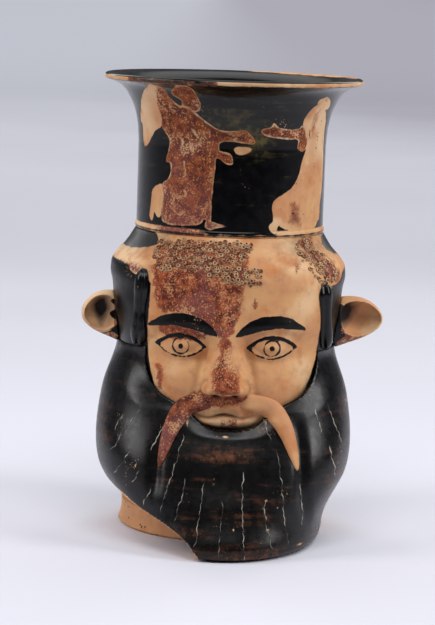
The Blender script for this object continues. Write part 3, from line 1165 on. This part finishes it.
def makeBeard():
    piece = remeshedCopy("beard", "incisedBeard", beard["voxel"], beard["smoothing"])
    places = vertexValues(piece, "co", mm)
    normals = vertexValues(piece, "normal")
    x, y, z = places.T
    skin = (y < beardFrontAtPlace(x, z) + 2.5) & (normals[:, 1] < 0.1)
    nearest = np.full(x.shape, 1e6)
    signed = np.full(x.shape, 1e6)
    for k, line in enumerate(beard["grooves"]):
        apart, side = distanceToLine(x, z, wavy(throughPoints(line), 0.36, 8.5, 1.7 * k), signs=True)
        signed = np.where(apart < nearest, side, signed)
        nearest = np.minimum(nearest, apart)
    # Round the face the beard thins out to the cheek
    opening = np.abs(distanceInside(x, z, faceOpening()))
    underLip = bell(x - forms["hairShift"], 40) * np.clip((76 - z) / 8, 0, 1)
    blend = beard["edgeBlend"] * (1 - underLip) + beard["lipBlend"] * underLip
    blendIn = np.where(skin, np.clip(1 - opening / blend, 0, 1), 0) * np.clip((z - 46) / 6, 0, 1)
    proud = np.maximum(headFrontAt(x, z) - 0.6 - y, 0)
    limit = beard["edgeSink"] * (1 - underLip) + beard["lipSink"] * underLip
    sink = limit * np.tanh(proud / limit) * blendIn * blendIn * (3 - 2 * blendIn)
    places[:, 1] += sink
    # The lower corner on the right bulges out over the foot
    places[:, 0] += beard["cornerBulge"] * bell(z - 17, 13) * np.clip((x - 28) / 16, 0, 1)
    depth = np.zeros(x.shape)
    for line in beard["furrows"]:
        fromEnd = np.clip((z - line[-1][1]) / 14, 0, 1) * np.clip((line[0][1] - z) / 16, 0, 1)
        furrow = bell(distanceToLine(x, z, throughPoints(line)), beard["furrowWidth"])
        depth = depth + np.where(skin, beard["furrowDepth"] * fromEnd * furrow, 0)
    moveTo(piece, places - normals * depth[:, None])
    writePaint(piece, "scratch", np.where(skin, nearest, 50))
    writePaint(piece, "scratchSide", np.where(skin, signed, 50))
    brown = np.zeros(x.shape)
    for across, up, wide, tall, strength in beard["brownPatches"]:
        brown = np.maximum(brown, strength * bell(x - across, wide) * bell(z - up, tall))
    writePaint(piece, "misfire", np.where(skin, brown, 0))
    crack = distanceToLine(x, z, rounded(beard["breakLine"], 2, False))
    broken = (crack < 1.1) & (x < -8) & (normals[:, 2] < -0.35)
    slip = np.where(broken, -3.0, 3.0)
    for across, up, wide, tall in beard["chips"]:
        chip = (np.hypot((x - across) / wide, (z - up) / tall) - 1) * min(wide, tall)
        slip = np.where(skin, np.minimum(slip, chip), slip)
    writePaint(piece, "slip", slip)
    material = paintedPottery("ironSlipBeard", slip="slip", scratches=True, misfire=True, chips=0.30,
                              slipRoughness=0.28, rustColours=("#24140C", "#66381E", "#B98456"))
    finishPiece(piece, material, "black_gloss", "beard")
    print("beard triangles:", len(piece.data.polygons) * 2)
    return piece


carvedBeard = makeBeard()
print("beard is carved")


# Moustaches, crescents of clay laid over the lip, the cheek and the beard

moustaches = {
    "spread": 33.5, "drop": 33.0, "width": 11.0, "height": 2.5, "sunk": 1.8,
    "rounds": 28,
    # Shares of the spread, of the drop and of the width
    "strip": [(0.13, 0.010, 0.00), (0.15, 0.012, 0.26), (0.23, 0.02, 0.60), (0.38, 0.04, 0.80), (0.60, 0.12, 0.88),
              (0.75, 0.28, 0.80), (0.86, 0.50, 0.64), (0.94, 0.75, 0.44), (0.99, 0.94, 0.20), (1.00, 1.00, 0.00)],
}


def seatOfMoustache(x, z, tree):
    # The outer of the lip or cheek, without the nose, and the beard
    y = headFrontAt(x, z) - swelling(np.abs(x), z, faceReliefs[2:3] + faceReliefs[4:])
    for place in np.ndindex(x.shape):
        hit = tree.ray_cast(Vector((x[place] * mm, -0.2, z[place] * mm)), Vector((0, 1, 0)))[0]
        if hit is not None:
            y[place] = min(y[place], hit.y / mm)
    return y


def makeMoustache(which, tree):
    side = -1 if which == "left" else 1
    start = noseBase - facePart * 0.10
    reach = side * moustaches["spread"] + forms["hairShift"]
    line = throughPoints([(reach * across, start - moustaches["drop"] * down, moustaches["width"] / 2 * wide)
                          for across, down, wide in moustaches["strip"]], 12)
    middleX, middleZ, half = line.T
    half = np.maximum(half, 0)
    alongX, alongZ = np.gradient(middleX), np.gradient(middleZ)
    length = np.hypot(alongX, alongZ) + 1e-9
    turn = np.linspace(0, 2 * math.pi, moustaches["rounds"] + 1)
    out = half[:, None] * np.cos(turn)
    x = middleX[:, None] - alongZ[:, None] / length[:, None] * out
    z = middleZ[:, None] + alongX[:, None] / length[:, None] * out
    y = seatOfMoustache(x, z, tree)
    padded = np.pad(y, ((5, 5), (0, 0)), mode="edge")
    y = sum(padded[k:k + len(y)] for k in range(11)) / 11
    share = half[:, None] / (moustaches["width"] * 0.44)
    lift = np.where(np.sin(turn) > 0, moustaches["height"], moustaches["sunk"]) * np.sin(turn) * share ** 0.7
    y = y - lift
    x = x + 0.35 * lift * np.sign(reach)
    piece = bentGrid(which + "Moustache", x, y, z)
    place = np.linspace(0, 1, len(line))[:, None] * np.ones_like(x)
    writePaint(piece, "soot", np.clip(0.75 - 3.2 * place, -1, 1).ravel())
    weld(0.00001, outward=True)
    material = rubbedOchre if which == "left" else paintedPottery("moustacheClay", soot=True)
    finishPiece(piece, material, "reserved_clay", "moustache_" + which)


beardTree = BVHTree.FromObject(carvedBeard, bpy.context.evaluated_depsgraph_get())
for which in ("left", "right"):
    makeMoustache(which, beardTree)
print("moustaches are laid on")


# Ears

ears = {
    "voxel": 0.5,
    "smoothing": 3,
    # soot: share of the length, rise, half-share, half-rise
    "left": {"side": -1, "tip": 73.5, "turn": -8.0, "soot": (0.42, 2.0, 0.30, 9.0), "stain": 0.2},
    "right": {"side": 1, "tip": 80.0, "turn": 14.0, "soot": (0.12, 3.5, 0.38, 9.0), "stain": 0.6},
    "level": 107.2, "height": 26.6, "depth": 17.0, "wall": 3.0, "rootDepth": 8.0, "forward": 8.0,
    "hollow": [(0.00, 0.04, 0.12, 0.22), (0.10, 0.04, 0.26, 0.36), (0.32, 0.03, 0.32, 0.48),
               (0.60, 0.03, 0.29, 0.46), (0.82, 0.02, 0.17, 0.36), (0.91, 0.02, 0.07, 0.22)],
}


def makeEar(which):
    ear = ears[which]
    piece = remeshedCopy("ear_" + which, which + "Ear", ears["voxel"], ears["smoothing"])
    x, y, z = vertexValues(piece, "co", mm).T
    root = halfWidthAt(ears["level"]) - ears["rootDepth"]
    outX = x * ear["side"] - root
    behind = y + ears["forward"]
    turn = math.radians(ear["turn"])
    along = outX * math.cos(turn) + behind * math.sin(turn)
    forward = outX * math.sin(turn) - behind * math.cos(turn)
    rise = z - ears["level"]
    length = ear["tip"] - root
    share = (along - ears["rootDepth"]) / (length - ears["rootDepth"])
    shares, *columns = np.array(ears["hollow"]).T
    middle, tall, deep = (np.interp(share, shares, column) * size for column, size in
                          zip(columns, (ears["height"], ears["height"], ears["depth"])))
    ahead = ears["depth"] / 2 - ears["wall"]
    near = np.sqrt(((rise - middle) / tall) ** 2 + ((forward - ahead) / deep) ** 2)
    inHollow = (near < 1.08) & (share > -0.05) & (share < 0.97)
    depth = np.where(inHollow, ears["depth"] / 2 - forward, 0)
    # Dark where slip ran into the bottom of the hollow, narrower below
    sootShare, sootRise, halfShare, halfRise = ear["soot"]
    narrow = halfShare * np.clip(1 + 0.05 * (rise - sootRise), 0.35, 1.3)
    soot = 1.5 * (1.1 - np.hypot((share - sootShare) / narrow, (rise - sootRise) / halfRise))
    soot = np.minimum(soot, (depth - 2.0) / 2.5)
    writePaint(piece, "soot", np.where(inHollow, np.clip(soot, -1, 1.2), -1))
    # Slip splashed over from the hair at the root, and a thin smear along the lower edge
    splash = 9.5 - along + 1.5 * np.sin(z * 0.9) - 0.01 * rise * rise
    lowEdge = 0.4 - np.abs(rise + 9.5 + 1.2 * np.sin(along * 0.5)) if which == "left" else np.full(x.shape, -5.0)
    writePaint(piece, "slip", np.maximum(splash, np.where(share < 0.8, lowEdge, -5)))
    stain = np.where((rise < -3) & (share < ear["stain"]), 0.5, -4.0)
    writePaint(piece, "wash", np.where(inHollow, -4.0, stain))
    material = paintedPottery(which + "EarClay", slip="slip", wash="wash", soot=True, chips=0.2, patchWear=0.03,
                              slipRoughness=0.4, raggedness=1.0)
    finishPiece(piece, material, "reserved_clay", "ear_" + which)


for which in ("left", "right"):
    makeEar(which)
print("ears are modelled")


# Side locks, each two rolls of clay pressed together

locks = {
    "voxel": 0.42,
    "smoothing": 3,
    "offset": 44.3, "width": 9.0, "lowEnd": 97.0,
    "grooveDepth": 1.0,
    "grooveWidth": 1.0,
    "left": {"side": -1, "top": 134.0},
    "right": {"side": 1, "top": 129.0},
}


def makeLock(which):
    lock = locks[which]
    piece = remeshedCopy("side_lock_" + which, which + "Lock", locks["voxel"], locks["smoothing"])
    places = vertexValues(piece, "co", mm)
    normals = vertexValues(piece, "normal")
    x, y, z = places.T
    down = (lock["top"] - z) / (lock["top"] - locks["lowEnd"])
    middle = lock["side"] * (locks["offset"] + 0.2 * locks["width"] * down) + forms["hairShift"]
    middle = middle + 0.5 * np.sin(down * 5)
    groove = bell(x - middle, locks["grooveWidth"]) * np.clip(-normals[:, 1] * 1.5, 0, 1)
    tooled = 0.07 * np.sin(z * 0.9 + 0.6 * np.sin(x)) * np.clip(-normals[:, 1], 0, 1)
    moveTo(piece, places - normals * (locks["grooveDepth"] * groove + tooled)[:, None])
    finishPiece(piece, blackGloss, "black_gloss", "side_lock_" + which)


for which in ("left", "right"):
    makeLock(which)
print("side locks are modelled")


# The nodes that stay get their finish

finishOfNode = {
    "foot_ring": pittedClay, "base_disc": pittedClay, "handle": blackGloss,
}
for nodeName, finish in finishOfNode.items():
    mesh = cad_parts[nodeName].data
    mesh.materials.clear()
    mesh.materials.append(finish)
print("kept pieces have their finishes")
